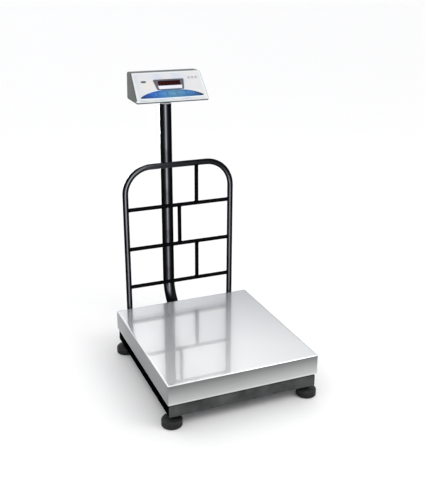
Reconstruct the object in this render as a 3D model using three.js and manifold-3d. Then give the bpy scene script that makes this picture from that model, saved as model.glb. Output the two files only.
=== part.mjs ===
// A bench scale: a stainless platter on a sprung weighing frame, a black tubular base with four
// levelling feet, a rear guard of welded tube, and a swan-necked column that carries the indicator.
import * as THREE from "three";
import { mergeVertices } from "three/addons/utils/BufferGeometryUtils.js";
import Module from "manifold-3d";

const wasm = await Module();
wasm.setup();

// ---- Driving dimensions, in millimetres. x = 0, y = 0 is the platter's centre and +Y is behind it. ----

const GAP = 0.3; // left between pieces that touch
const PAST = 1; // how far a cutting tool runs beyond the face it cuts
const ROD_SIDES = 12;
const HEX = 6;
const PLATTER = { width: 500, depth: 550, top: 151.5, skirt: 66.5, sheet: 1.5, fold: 3 };
const BASE = { width: 490, depth: 540, bottom: 40, section: 40, wall: 2.5 };
const BEAM = { width: 80, height: 20, sheet: 4 };
const FOOT = { x: 229, y: 246, radius: 32.5, height: 28, round: 4, cap: 9 };
const STUD = { radius: 6, top: 72, hole: 7 };
const CELL = { length: 150, width: 40, height: 44, land: 4, grip: 40, waist: 13, slot: 6 };
const CELL_BOLT = { inset: 10, spacing: 20, shank: 4, head: 6.5, headHeight: 5.3, reach: 22 };
const TOP_RAIL = { length: 420, width: 30, height: 25, wall: 2, y: 185 };
const TOP_BEAM = { width: 56, sheet: 4 };
const BUTTON = { x: 195, radius: 14, neck: 11, rim: 5 };
const STOP = { x: 191, y: 185, travel: 1, lug: 28, lugBottom: 62, lugHeight: 8 };
const STOP_SCREW = { shank: 4, head: 7, headHeight: 5, nutHeight: 6 };

const GUARD = { y: 300, x: 194.5, top: 655, bend: 93, radius: 10, wall: 1.5 };
const BARS = { top: 508.5, middle: 364.5, bottom: 222, radius: 6.75, offset: 65 };
const BRACKET = { width: 34, back: 313, bottom: 46, top: 76, floor: 4 };

const COLUMN = { y: 431.5, radius: 21.2, wall: 2, legZ: 64, bend: 117, top: 843, start: 277 };
const SOCKET = { flange: 6.5, weld: 0.8, width: 96, bottom: 42, top: 82, sleeve: 25, back: 312 };
const SWIVEL = { flange: 4, insert: 30, journal: 12, bore: 7, clearance: 0.5, short: 1.5 };
const COLLAR = { plate: 36, height: 4 };
const CABLE = { radius: 2.5, hole: 6, straight: 40, drop: 70, round: 15, sides: 8, meetBelow: 4 };
const LEAD = { rise: 24, end: 48, round: 12 };

const CASE = {
  bottom: 860,
  top: 953,
  front: 333,
  ridge: 418.5, // where the sloping face meets the top
  back: 474,
  halfWidth: 131.5,
  wall: 3,
  edge: 5,
  draftBack: 0.00029, // how much narrower the casing gets per millimetre towards the back
  draftUp: 0.00013, // and per millimetre upwards
};
const PANEL = { halfWidth: 117, bottom: 13, top: 120, lift: 1.3, corner: 6 };
const DISPLAY = { up: 80, width: 80, height: 18, board: 8, opening: 2.5, pane: 2, module: 1 };
const BEZEL = { top: 95, bottom: 52.5, topHalf: 56, bottomHalf: 48, lift: 2.8, corner: 4 };
const KEY = { count: 5, pitch: 34, up: 36.5, length: 24, height: 13, bottom: 1, top: 2.4, clearance: 0.6 };
const BOARD = { width: 170, bottom: 45, top: 115, thickness: 1.6, depth: 16 };
const BATTERY = { left: 10, length: 97, depth: 43, height: 52, back: 467 };
const INLET = { x: -58, z: 884, width: 27, height: 20, depth: 18 };
const INLET_FLANGE = { thickness: 2.5, width: 40, height: 26 };
const INLET_CAVITY = { width: 24, height: 16, depth: 14 };
const PIN = { width: 2, height: 4, length: 12, spread: 7, rise: 2 };
const ROCKER = { x: -96, z: 884, width: 12, height: 17, depth: 6, crown: 1.8, tilt: 6, pivot: 4 };
const ROCKER_HOLE = { width: 13, height: 20 };

// ---- Finishes ----

const BLACK_COAT = { color: 0x141517, roughness: 0.32, metalness: 0.0 };
const STAINLESS = { color: 0xb9bcbf, roughness: 0.28, metalness: 1.0 };
const ZINC = { color: 0xa4a7a9, roughness: 0.4, metalness: 1.0 };
const ALUMINIUM = { color: 0xc3c6c9, roughness: 0.35, metalness: 1.0 };
const RUBBER = { color: 0x1c1c1d, roughness: 0.85, metalness: 0.0 };
const CASE_PLASTIC = { color: 0xd9dcdd, roughness: 0.45, metalness: 0.0 };
const PANEL_FILM = { color: 0xe6ecf2, roughness: 0.35, metalness: 0.0 };
const BEZEL_PLASTIC = { color: 0x57545a, roughness: 0.4, metalness: 0.0 };
const DISPLAY_FILTER = { color: 0x2a0a0e, roughness: 0.1, metalness: 0.0 };
const KEY_BLUE = { color: 0x3f7fc0, roughness: 0.4, metalness: 0.0 };
const DARK_PLASTIC = { color: 0x202124, roughness: 0.5, metalness: 0.0 };
const BOARD_GREEN = { color: 0x1d5a3a, roughness: 0.5, metalness: 0.0 };

// ---- Geometry helpers ----

const v = (x, y, z) => new THREE.Vector3(x, y, z);

// A box given by its lowest and highest x, y and z.
function block([x0, x1], [y0, y1], [z0, z1]) {
  const box = new THREE.BoxGeometry(x1 - x0, y1 - y0, z1 - z0);
  return box.translate((x0 + x1) / 2, (y0 + y1) / 2, (z0 + z1) / 2);
}

// A round rod from one point to another.
function rod(radius, from, to, sides = 16) {
  const axis = to.clone().sub(from);
  const turn = new THREE.Quaternion().setFromUnitVectors(v(0, 1, 0), axis.clone().normalize());
  const centre = from.clone().add(to).multiplyScalar(0.5);
  return new THREE.CylinderGeometry(radius, radius, axis.length(), sides)
    .applyQuaternion(turn)
    .translate(centre.x, centre.y, centre.z);
}

// A solid turned about the vertical: the profile is a list of [radius, height].
function turned(profile, sides = 24) {
  const points = profile.map(([radius, height]) => new THREE.Vector2(radius, height));
  return new THREE.LatheGeometry(points, sides).rotateX(Math.PI / 2);
}

// Replaces the corners of a polyline, or of a closed outline, by arcs.
function filleted(corners, radius, steps, closed = false) {
  const count = corners.length;
  return corners.flatMap((corner, i) => {
    if (!closed && (i === 0 || i === count - 1)) return [corner];
    const before = corners[(i + count - 1) % count].clone().sub(corner).normalize();
    const after = corners[(i + 1) % count].clone().sub(corner).normalize();
    const half = before.angleTo(after) / 2;
    const centre = before.clone().add(after).normalize().multiplyScalar(radius / Math.sin(half)).add(corner);
    const reach = radius / Math.tan(half);
    const start = before.multiplyScalar(reach).add(corner).sub(centre);
    const end = after.multiplyScalar(reach).add(corner).sub(centre);
    const sweep = Math.PI - 2 * half;
    return Array.from({ length: steps + 1 }, (_, k) => {
      const share = k / steps;
      const fromStart = start.clone().multiplyScalar(Math.sin((1 - share) * sweep) / Math.sin(sweep));
      const fromEnd = end.clone().multiplyScalar(Math.sin(share * sweep) / Math.sin(sweep));
      return fromStart.add(fromEnd).add(centre);
    });
  });
}

// A bent tube's centre line, which passes one station for each equal step of its parameter.
class BentPath extends THREE.Curve {
  constructor(stations) {
    super();
    this.stations = stations;
  }
  getUtoTmapping(u) {
    return u;
  }
  getPoint(t, target = new THREE.Vector3()) {
    const place = t * (this.stations.length - 1);
    const i = Math.min(Math.floor(place), this.stations.length - 2);
    return target.lerpVectors(this.stations[i], this.stations[i + 1], place - i);
  }
}

function circle(radius, sides) {
  const points = Array.from({ length: sides }, (_, i) => {
    const angle = (i * 2 * Math.PI) / sides;
    return new THREE.Vector2(radius * Math.cos(angle), radius * Math.sin(angle));
  });
  return new THREE.Path(points);
}

// A round tube along a bent path; without an inner radius it is a solid rod.
function bentTube(stations, outer, inner, sides) {
  const section = new THREE.Shape(circle(outer, sides).getPoints());
  if (inner) section.holes.push(circle(inner, sides));
  const path = new BentPath(stations);
  return new THREE.ExtrudeGeometry(section, { steps: stations.length - 1, extrudePath: path });
}

function rectangle(x0, x1, y0, y1) {
  return new THREE.Shape([v(x0, y0, 0), v(x1, y0, 0), v(x1, y1, 0), v(x0, y1, 0)]);
}

// Extrudes an outline drawn in (y, z) along x, centred on x = 0.
function alongX(outline, length, options = {}) {
  const turn = new THREE.Matrix4().makeBasis(v(0, 1, 0), v(0, 0, 1), v(1, 0, 0));
  return new THREE.ExtrudeGeometry(outline, { depth: length, bevelEnabled: false, ...options })
    .translate(0, 0, -length / 2)
    .applyMatrix4(turn);
}

// Extrudes an outline drawn in (x, y) between two heights.
function upright(outline, z0, z1) {
  return new THREE.ExtrudeGeometry(outline, { depth: z1 - z0, bevelEnabled: false }).translate(0, 0, z0);
}

// A closed mesh as a solid that can be cut and joined.
function solid(geometry) {
  const bare = geometry.index ? geometry.toNonIndexed() : geometry.clone();
  bare.deleteAttribute("normal");
  bare.deleteAttribute("uv");
  const merged = mergeVertices(bare, 1e-4);
  const index = merged.index.array;
  const triVerts = [];
  for (let i = 0; i < index.length; i += 3) {
    const [a, b, c] = index.slice(i, i + 3);
    if (a !== b && b !== c && c !== a) triVerts.push(a, b, c);
  }
  const vertProperties = merged.attributes.position.array;
  const mesh = new wasm.Mesh({ numProp: 3, vertProperties, triVerts: new Uint32Array(triVerts) });
  return new wasm.Manifold(mesh);
}

function geometryOf(body) {
  const mesh = body.getMesh();
  const geometry = new THREE.BufferGeometry();
  geometry.setAttribute("position", new THREE.BufferAttribute(mesh.vertProperties, 3));
  geometry.setIndex(new THREE.BufferAttribute(mesh.triVerts, 1));
  geometry.computeVertexNormals();
  return geometry;
}

const cut = (geometry, tools) =>
  geometryOf(tools.reduce((body, tool) => body.subtract(solid(tool)), solid(geometry)));

const join = (geometries) => geometryOf(geometries.map(solid).reduce((body, other) => body.add(other)));

function piece(parent, name, geometry, finish) {
  const mesh = new THREE.Mesh(geometry, new THREE.MeshStandardMaterial(finish));
  mesh.name = name;
  parent.add(mesh);
  return mesh;
}

const scale = new THREE.Group();
const CORNERS = [
  ["front_left", -1, -1],
  ["front_right", 1, -1],
  ["rear_left", -1, 1],
  ["rear_right", 1, 1],
];

// ---- Base: four mitred rails, a channel beam for the load cell, and the feet ----

const railTop = BASE.bottom + BASE.section;
const beamTop = BASE.bottom + BEAM.height;

// A square tube on the +Y side of the base, its ends mitred at 45 degrees.
function mitredRail(outer, length) {
  const inner = outer - BASE.section;
  const outline = rectangle(inner, outer, BASE.bottom, railTop);
  const bore = rectangle(inner + BASE.wall, outer - BASE.wall, BASE.bottom + BASE.wall, railTop - BASE.wall);
  outline.holes.push(bore);
  const rail = alongX(outline, length);
  const places = rail.attributes.position;
  for (let i = 0; i < places.count; i++) {
    const inset = outer - places.getY(i) + GAP / 2;
    places.setX(i, Math.sign(places.getX(i)) * (length / 2 - inset));
  }
  return rail;
}

function buildBaseRails() {
  const studHoles = CORNERS.map(([, sx, sy]) => {
    const at = (z) => v(sx * FOOT.x, sy * FOOT.y, z);
    return rod(STUD.hole, at(BASE.bottom - PAST), at(STUD.top + GAP), ROD_SIDES);
  });
  const inside = BASE.depth / 2 - BASE.section - PAST;
  const outside = BASE.depth / 2 + PAST;
  const cablePass = rod(CABLE.hole, v(0, inside, COLUMN.legZ), v(0, outside, COLUMN.legZ), ROD_SIDES);
  const across = mitredRail(BASE.depth / 2, BASE.width);
  const along = mitredRail(BASE.width / 2, BASE.depth);
  piece(scale, "base_rail_rear", cut(across, [...studHoles, cablePass]), BLACK_COAT);
  piece(scale, "base_rail_front", cut(across.clone().rotateZ(Math.PI), studHoles), BLACK_COAT);
  piece(scale, "base_rail_left", cut(along.clone().rotateZ(Math.PI / 2), studHoles), BLACK_COAT);
  piece(scale, "base_rail_right", cut(along.clone().rotateZ(-Math.PI / 2), studHoles), BLACK_COAT);
}

// A channel's outline; `web` is the height of its flat face and `edge` that of its open side.
function channel(width, sheet, web, edge) {
  const side = width / 2;
  const inside = side - sheet;
  const under = web + Math.sign(edge - web) * sheet;
  const points = [
    [-side, edge],
    [-side, web],
    [side, web],
    [side, edge],
    [inside, edge],
    [inside, under],
    [-inside, under],
    [-inside, edge],
  ];
  return new THREE.Shape(points.map(([y, z]) => new THREE.Vector2(y, z)));
}

// The bolts run up or down into the load cell at `side` = -1, its fixed end, or +1, its live end.
function cellBoltPlaces(side) {
  const nearest = CELL.length / 2 - CELL_BOLT.inset;
  return [nearest, nearest - CELL_BOLT.spacing].map((y) => side * y);
}

function buildBaseBeam() {
  const length = BASE.depth - 2 * BASE.section - 2 * GAP;
  const beam = alongX(channel(BEAM.width, BEAM.sheet, beamTop, BASE.bottom), length).rotateZ(Math.PI / 2);
  const holes = cellBoltPlaces(-1).map((y) =>
    rod(CELL_BOLT.shank + GAP, v(0, y, BASE.bottom), v(0, y, beamTop + PAST), ROD_SIDES));
  piece(scale, "base_beam", cut(beam, holes), BLACK_COAT);
}

function buildFeet() {
  const { radius, height, round, cap } = FOOT;
  const pad = turned([
    [0, 0],
    [radius - round, 0],
    [radius, round],
    [radius, height - cap],
    [radius - round, height - cap / 3],
    [radius / 2, height],
    [0, height],
  ]);
  for (const [corner, sx, sy] of CORNERS) {
    const at = (z) => v(sx * FOOT.x, sy * FOOT.y, z);
    piece(scale, `foot_pad_${corner}`, pad.clone().translate(...at(0)), RUBBER);
    const stud = rod(STUD.radius, at(height + GAP), at(STUD.top), ROD_SIDES);
    piece(scale, `foot_stud_${corner}`, stud, ZINC);
  }
}

// ---- Load cell and the weighing frame that it carries ----

const cellBottom = beamTop + GAP;
const cellTop = cellBottom + CELL.height + CELL.land;
const frameBottom = cellTop + GAP;
const frameTop = frameBottom + TOP_RAIL.height;

// A single-point load cell: a bar with a double-holed waist and a raised land at each end.
function buildLoadCell() {
  const half = CELL.length / 2;
  const side = CELL.width / 2;
  const centre = (cellBottom + cellTop) / 2;
  const bar = block([-side, side], [-half, half], [cellBottom, cellTop]);
  const [left, right] = [-side - PAST, side + PAST];
  const liveLand = [cellBottom - PAST, cellBottom + CELL.land];
  const belowLive = block([left, right], [-half + CELL.grip, half + PAST], liveLand);
  const fixedLand = [cellTop - CELL.land, cellTop + PAST];
  const aboveFixed = block([left, right], [-half - PAST, half - CELL.grip], fixedLand);
  const eye = (y) => rod(CELL.waist, v(left, y, centre), v(right, y, centre));
  const slotHeights = [centre - CELL.slot / 2, centre + CELL.slot / 2];
  const slot = block([left, right], [-CELL.waist, CELL.waist], slotHeights);
  const thread = (y, z0, z1) => rod(CELL_BOLT.shank + GAP, v(0, y, z0), v(0, y, z1), ROD_SIDES);
  const depth = CELL_BOLT.reach + GAP;
  const lower = cellBoltPlaces(-1).map((y) => thread(y, cellBottom - PAST, cellBottom + depth));
  const upper = cellBoltPlaces(1).map((y) => thread(y, cellTop - depth, cellTop + PAST));
  const tools = [belowLive, aboveFixed, eye(-CELL.waist), eye(CELL.waist), slot, ...lower, ...upper];
  piece(scale, "load_cell", cut(bar, tools), ALUMINIUM);
}

// A hexagon bolt whose head's bearing face is at z = 0 and whose shank runs up to `length`.
function hexBolt(length) {
  const head = rod(CELL_BOLT.head, v(0, 0, -CELL_BOLT.headHeight), v(0, 0, 0), HEX);
  return join([head, rod(CELL_BOLT.shank, v(0, 0, -PAST), v(0, 0, length), ROD_SIDES)]);
}

function buildCellBolts() {
  const lower = hexBolt(BEAM.sheet + 2 * GAP + CELL_BOLT.reach - GAP);
  cellBoltPlaces(-1).forEach((y, i) => {
    const bolt = lower.clone().translate(0, y, beamTop - BEAM.sheet - GAP);
    piece(scale, `load_cell_bolt_lower_${i + 1}`, bolt, ZINC);
  });
  const upper = hexBolt(TOP_BEAM.sheet + 2 * GAP + CELL_BOLT.reach - GAP).rotateX(Math.PI);
  cellBoltPlaces(1).forEach((y, i) => {
    const bolt = upper.clone().translate(0, y, frameBottom + TOP_BEAM.sheet + GAP);
    piece(scale, `load_cell_bolt_upper_${i + 1}`, bolt, ZINC);
  });
}

function buildWeighingFrame() {
  const reach = TOP_RAIL.y - TOP_RAIL.width / 2 - GAP;
  const outline = channel(TOP_BEAM.width, TOP_BEAM.sheet, frameBottom, frameTop);
  const beam = alongX(outline, 2 * reach).rotateZ(Math.PI / 2);
  const holes = cellBoltPlaces(1).map((y) =>
    rod(CELL_BOLT.shank + GAP, v(0, y, frameBottom - PAST), v(0, y, frameTop), ROD_SIDES));
  piece(scale, "top_beam", cut(beam, holes), BLACK_COAT);

  const near = TOP_RAIL.y - TOP_RAIL.width / 2;
  const far = TOP_RAIL.y + TOP_RAIL.width / 2;
  const tube = rectangle(near, far, frameBottom, frameTop);
  const { wall } = TOP_RAIL;
  tube.holes.push(rectangle(near + wall, far - wall, frameBottom + wall, frameTop - wall));
  const rail = alongX(tube, TOP_RAIL.length);
  piece(scale, "top_rail_rear", rail, BLACK_COAT);
  piece(scale, "top_rail_front", rail.clone().rotateZ(Math.PI), BLACK_COAT);
}

// Rubber buttons on the weighing frame, under the platter's corners.
function buildButtons() {
  const bottom = frameTop + GAP;
  const top = PLATTER.top - PLATTER.sheet - GAP;
  const button = turned([
    [0, bottom],
    [BUTTON.radius, bottom],
    [BUTTON.radius, bottom + BUTTON.rim],
    [BUTTON.neck, top],
    [0, top],
  ]);
  for (const [corner, sx, sy] of CORNERS) {
    const place = button.clone().translate(sx * BUTTON.x, sy * TOP_RAIL.y, 0);
    piece(scale, `platter_button_${corner}`, place, RUBBER);
  }
}

// Screws on lugs of the side rails, which catch the weighing frame when the scale is overloaded.
function buildOverloadStops() {
  const railFace = BASE.width / 2 - BASE.section - GAP;
  const lugTop = STOP.lugBottom + STOP.lugHeight;
  const tip = frameBottom - STOP.travel;
  for (const [corner, sx, sy] of CORNERS) {
    const xs = [sx * (STOP.x - STOP.lug / 2), sx * railFace].sort((a, b) => a - b);
    const ys = [sy * STOP.y - STOP.lug / 2, sy * STOP.y + STOP.lug / 2];
    const lug = block(xs, ys, [STOP.lugBottom, lugTop]);
    const at = (z) => v(sx * STOP.x, sy * STOP.y, z);
    const screw = rod(STOP_SCREW.shank, at(lugTop - PAST), at(tip), ROD_SIDES);
    const head = rod(STOP_SCREW.head, at(tip - STOP_SCREW.headHeight), at(tip), HEX);
    const nut = rod(STOP_SCREW.head, at(lugTop - PAST), at(lugTop + STOP_SCREW.nutHeight), HEX);
    piece(scale, `overload_stop_${corner}`, join([lug, screw, head, nut]), ZINC);
  }
}

// The platter: an inverted stainless tray with folded edges.
function buildPlatter() {
  const { width, depth, top, skirt, sheet, fold } = PLATTER;
  const inset = width / 2 - fold;
  const outline = rectangle(-inset, inset, fold - depth / 2, depth / 2 - fold);
  const options = { depth: skirt, bevelThickness: fold, bevelSize: fold, bevelSegments: 3 };
  const folded = new THREE.ExtrudeGeometry(outline, options).translate(0, 0, top - fold - skirt);
  const xs = [-width / 2 - PAST, width / 2 + PAST];
  const ys = [-depth / 2 - PAST, depth / 2 + PAST];
  const below = block(xs, ys, [0, top - skirt]);
  const insideX = width / 2 - sheet;
  const insideY = depth / 2 - sheet;
  const hollow = block([-insideX, insideX], [-insideY, insideY], [0, top - sheet]);
  piece(scale, "platter", cut(folded, [below, hollow]), STAINLESS);
}

// ---- Guard: a hoop of tube, three crossbars and three short uprights ----

function buildGuard() {
  const { x, y, top, bend, radius, wall } = GUARD;
  const foot = BRACKET.bottom + BRACKET.floor + GAP;
  const route = filleted([v(-x, y, foot), v(-x, y, top), v(x, y, top), v(x, y, foot)], bend, 6);
  piece(scale, "guard_hoop", bentTube(route, radius, radius - wall, 16), BLACK_COAT);

  const post = (side) => rod(radius + GAP, v(side * x, y, 0), v(side * x, y, top - bend), 24);
  const bar = (z, size = BARS.radius) => rod(size, v(-x, y, z), v(x, y, z), ROD_SIDES);
  for (const level of ["top", "middle", "bottom"]) {
    piece(scale, `guard_bar_${level}`, cut(bar(BARS[level]), [post(-1), post(1)]), BLACK_COAT);
  }
  const clear = BARS.radius + GAP;
  const uprights = {
    top: [BARS.offset, bar(BARS.top, clear), bar(top, radius + GAP), BARS.top, top],
    middle: [0, bar(BARS.middle, clear), bar(BARS.top, clear), BARS.middle, BARS.top],
    bottom: [BARS.offset, bar(BARS.bottom, clear), bar(BARS.middle, clear), BARS.bottom, BARS.middle],
  };
  for (const [level, [across, below, above, z0, z1]] of Object.entries(uprights)) {
    const stub = rod(BARS.radius, v(across, y, z0), v(across, y, z1), ROD_SIDES);
    piece(scale, `guard_upright_${level}`, cut(stub, [below, above]), BLACK_COAT);
  }
}

// Blocks on the rear rail with a blind hole for each post of the guard.
function buildGuardBrackets() {
  const { width, back, bottom, top, floor } = BRACKET;
  const front = BASE.depth / 2 + GAP;
  for (const [side, name] of [[-1, "left"], [1, "right"]]) {
    const x = side * GUARD.x;
    const body = block([x - width / 2, x + width / 2], [front, back], [bottom, top]);
    const hole = rod(GUARD.radius + GAP, v(x, GUARD.y, bottom + floor), v(x, GUARD.y, top + PAST));
    piece(scale, `guard_bracket_${name}`, cut(body, [hole]), BLACK_COAT);
  }
}

// ---- Column: a swan-necked tube held in a socket on the rear rail ----

const COLUMN_SIDES = 24;

function buildColumn() {
  const { y, radius, wall, legZ, bend, top, start } = COLUMN;
  const route = filleted([v(0, start, legZ), v(0, y, legZ), v(0, y, top)], bend, 8);
  piece(scale, "column", bentTube(route, radius, radius - wall, COLUMN_SIDES), BLACK_COAT);
}

function buildColumnSocket() {
  const { flange, weld, width, bottom, top, sleeve, back } = SOCKET;
  const z = COLUMN.legZ;
  const face = BASE.depth / 2 + GAP;
  const plate = block([-width / 2, width / 2], [face, face + flange], [bottom, top]);
  const barrel = rod(sleeve, v(0, face + flange - weld, z), v(0, back, z), COLUMN_SIDES);
  const bore = rod(COLUMN.radius + GAP, v(0, face + flange, z), v(0, back + PAST, z), COLUMN_SIDES);
  const pass = rod(CABLE.hole, v(0, face - PAST, z), v(0, back, z), ROD_SIDES);
  piece(scale, "column_socket", cut(join([plate, barrel]), [bore, pass]), BLACK_COAT);
}

const plugTop = COLUMN.top + GAP + SWIVEL.flange;
const collarTop = CASE.bottom - GAP;

// The plug in the column's end carries the journal; the collar under the casing turns on it.
function buildSwivel() {
  const { insert, journal, bore, clearance, short } = SWIVEL;
  const neck = COLUMN.radius - COLUMN.wall - GAP;
  const seat = COLUMN.top + GAP;
  const plug = turned([
    [bore, COLUMN.top - insert],
    [neck, COLUMN.top - insert],
    [neck, seat],
    [COLUMN.radius, seat],
    [COLUMN.radius, plugTop],
    [journal, plugTop],
    [journal, CASE.bottom - short],
    [bore, CASE.bottom - short],
    [bore, COLUMN.top - insert],
  ]);
  piece(scale, "swivel_plug", plug.translate(0, COLUMN.y, 0), ZINC);
  const inner = journal + clearance;
  const collar = turned([
    [inner, plugTop + GAP],
    [COLUMN.radius, plugTop + GAP],
    [COLUMN.radius, collarTop - COLLAR.height],
    [COLLAR.plate, collarTop - COLLAR.height],
    [COLLAR.plate, collarTop],
    [inner, collarTop],
    [inner, plugTop + GAP],
  ]);
  piece(scale, "swivel_collar", collar.translate(0, COLUMN.y, 0), BLACK_COAT);
}

// The load cell's cable runs through the rear rail and the column to the swivel, where a second
// lead on the same axis takes over, so that the indicator can turn.
function buildCable() {
  const { radius, straight, drop, round, sides } = CABLE;
  const meet = CASE.bottom - CABLE.meetBelow;
  const cellEnd = CELL.length / 2 + GAP;
  const z = COLUMN.legZ;
  const exitZ = (cellBottom + cellTop) / 2;
  const dip = [v(0, cellEnd, exitZ), v(0, cellEnd + straight, exitZ), v(0, cellEnd + drop, z)];
  const rise = [v(0, COLUMN.y, z), v(0, COLUMN.y, meet)];
  const bendDown = filleted([...dip, v(0, COLUMN.y - COLUMN.bend, z)], round, 3);
  const bendUp = filleted([dip[2], ...rise], COLUMN.bend, 8).slice(1);
  const route = [...bendDown.slice(0, -1), ...bendUp];
  piece(scale, "load_cell_cable", bentTube(route, radius, 0, sides), DARK_PLASTIC);
  const top = CASE.bottom + LEAD.rise;
  const lead = [v(0, COLUMN.y, meet + GAP), v(0, COLUMN.y, top), v(0, CASE.front + LEAD.end, top)];
  const leadTube = bentTube(filleted(lead, LEAD.round, 4), radius, 0, sides);
  piece(scale, "indicator_lead", leadTube, DARK_PLASTIC);
}

// ---- Indicator: a wedge-shaped casing with a sloping front ----

const caseCorners = [
  v(CASE.back, CASE.bottom, 0),
  v(CASE.back, CASE.top, 0),
  v(CASE.ridge, CASE.top, 0),
  v(CASE.front, CASE.bottom, 0),
];
const slope = Math.atan2(CASE.top - CASE.bottom, CASE.ridge - CASE.front);

// Moves every edge of a convex outline inwards by `distance`.
function shrunk(corners, distance) {
  const centre = corners.reduce((sum, p) => sum.add(p), v(0, 0, 0)).divideScalar(corners.length);
  return corners.map((corner, i) => {
    const before = corners[(i + corners.length - 1) % corners.length].clone().sub(corner).normalize();
    const after = corners[(i + 1) % corners.length].clone().sub(corner).normalize();
    const inward = before.clone().add(after).normalize();
    if (inward.dot(centre.clone().sub(corner)) < 0) inward.negate();
    const step = distance / Math.sin(before.angleTo(after) / 2);
    return inward.multiplyScalar(step).add(corner);
  });
}

// The casing narrows a little towards its back and its top.
function drafted(geometry) {
  const places = geometry.attributes.position;
  for (let i = 0; i < places.count; i++) {
    const backward = (places.getY(i) - CASE.front) * CASE.draftBack;
    const upward = (places.getZ(i) - CASE.bottom) * CASE.draftUp;
    places.setX(i, places.getX(i) * (1 - backward - upward));
  }
  geometry.computeVertexNormals();
  return geometry;
}

// The panel's own frame: x across, y up the slope from the casing's front edge, z outwards.
const panel = new THREE.Group();
panel.position.set(0, CASE.front, CASE.bottom);
panel.rotation.x = slope;
panel.updateMatrix();
const ontoSlope = (geometry) => geometry.clone().applyMatrix4(panel.matrix);

function rectangleWithRounds(x0, x1, y0, y1, radius, steps = 3) {
  const corners = [v(x0, y0, 0), v(x1, y0, 0), v(x1, y1, 0), v(x0, y1, 0)];
  return new THREE.Shape(filleted(corners, radius, steps, true));
}

function displayOpening(margin) {
  const halfWidth = DISPLAY.width / 2 + margin;
  const halfHeight = DISPLAY.height / 2 + margin;
  return rectangle(-halfWidth, halfWidth, DISPLAY.up - halfHeight, DISPLAY.up + halfHeight);
}

function bezelOutline(margin) {
  const { top, bottom, topHalf, bottomHalf } = BEZEL;
  const corners = [
    v(-bottomHalf - margin, bottom - margin, 0),
    v(bottomHalf + margin, bottom - margin, 0),
    v(topHalf + margin, top + margin, 0),
    v(-topHalf - margin, top + margin, 0),
  ];
  return new THREE.Shape(filleted(corners, BEZEL.corner, 3, true));
}

function keyOutline(place, margin) {
  const halfLength = KEY.length / 2 + margin;
  const halfHeight = KEY.height / 2 + margin;
  const [left, right] = [place - halfLength, place + halfLength];
  const radius = halfHeight - GAP / 3;
  return rectangleWithRounds(left, right, KEY.up - halfHeight, KEY.up + halfHeight, radius);
}

const keyPlaces = Array.from({ length: KEY.count }, (_, i) => (i - (KEY.count - 1) / 2) * KEY.pitch);

function backOpening(x, z, width, height) {
  const ys = [CASE.back - 2 * CASE.wall, CASE.back + PAST];
  return block([x - width / 2, x + width / 2], ys, [z - height / 2, z + height / 2]);
}

function buildCasing() {
  const { halfWidth, edge, wall, bottom } = CASE;
  const outline = new THREE.Shape(filleted(shrunk(caseCorners, edge), 1, 2, true));
  const rounding = { bevelEnabled: true, bevelThickness: edge, bevelSize: edge, bevelSegments: 3 };
  const outer = alongX(outline, 2 * (halfWidth - edge), rounding);
  const innerCorners = shrunk(caseCorners, wall);
  const lowered = innerCorners.map((p) => (p.y < bottom + 2 * wall ? v(p.x, bottom - PAST, 0) : p));
  const inner = alongX(new THREE.Shape(lowered), 2 * (halfWidth - wall));
  const window = ontoSlope(upright(displayOpening(DISPLAY.opening), -2 * wall, PAST));
  const inletHole = backOpening(INLET.x, INLET.z, INLET.width + 2 * GAP, INLET.height + 2 * GAP);
  const rockerHole = backOpening(ROCKER.x, ROCKER.z, ROCKER_HOLE.width, ROCKER_HOLE.height);
  const shell = cut(drafted(outer), [drafted(inner), window, inletHole, rockerHole]);
  piece(scale, "housing_shell", shell, CASE_PLASTIC);

  const front = lowered.reduce((least, p) => Math.min(least, p.x), CASE.back);
  const side = halfWidth - wall - GAP;
  const floor = block([-side, side], [front + 2 * wall, CASE.back - wall - GAP], [bottom, bottom + wall]);
  const pass = rod(SWIVEL.journal, v(0, COLUMN.y, bottom - PAST), v(0, COLUMN.y, bottom + wall + PAST));
  piece(scale, "housing_base", cut(drafted(floor), [pass]), CASE_PLASTIC);
}

function buildPanel() {
  const { halfWidth, bottom, top, lift, corner } = PANEL;
  const film = rectangleWithRounds(-halfWidth, halfWidth, bottom, top, corner);
  film.holes.push(bezelOutline(GAP), ...keyPlaces.map((place) => keyOutline(place, KEY.clearance)));
  piece(panel, "front_panel", upright(film, GAP, lift), PANEL_FILM);

  const frame = bezelOutline(0);
  frame.holes.push(displayOpening(0));
  piece(panel, "display_bezel", upright(frame, GAP, BEZEL.lift), BEZEL_PLASTIC);
  const pane = upright(displayOpening(DISPLAY.pane), -CASE.wall + 2 * GAP, 0);
  piece(panel, "display_window", pane, DISPLAY_FILTER);
  const back = -CASE.wall - DISPLAY.board;
  const module = upright(displayOpening(DISPLAY.module), back, -CASE.wall + GAP);
  piece(panel, "display_module", module, DARK_PLASTIC);

  keyPlaces.forEach((place, i) => {
    piece(panel, `key_${i + 1}`, upright(keyOutline(place, 0), KEY.bottom, KEY.top), KEY_BLUE);
  });
  const { width, thickness, depth } = BOARD;
  const sheet = block([-width / 2, width / 2], [BOARD.bottom, BOARD.top], [-depth, thickness - depth]);
  piece(panel, "main_board", sheet, BOARD_GREEN);
}

function buildBattery() {
  const { left, length, depth, height, back } = BATTERY;
  const floor = CASE.bottom + CASE.wall + GAP;
  const cell = block([left, left + length], [back - depth, back], [floor, floor + height]);
  piece(scale, "battery", cell, DARK_PLASTIC);
}

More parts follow.
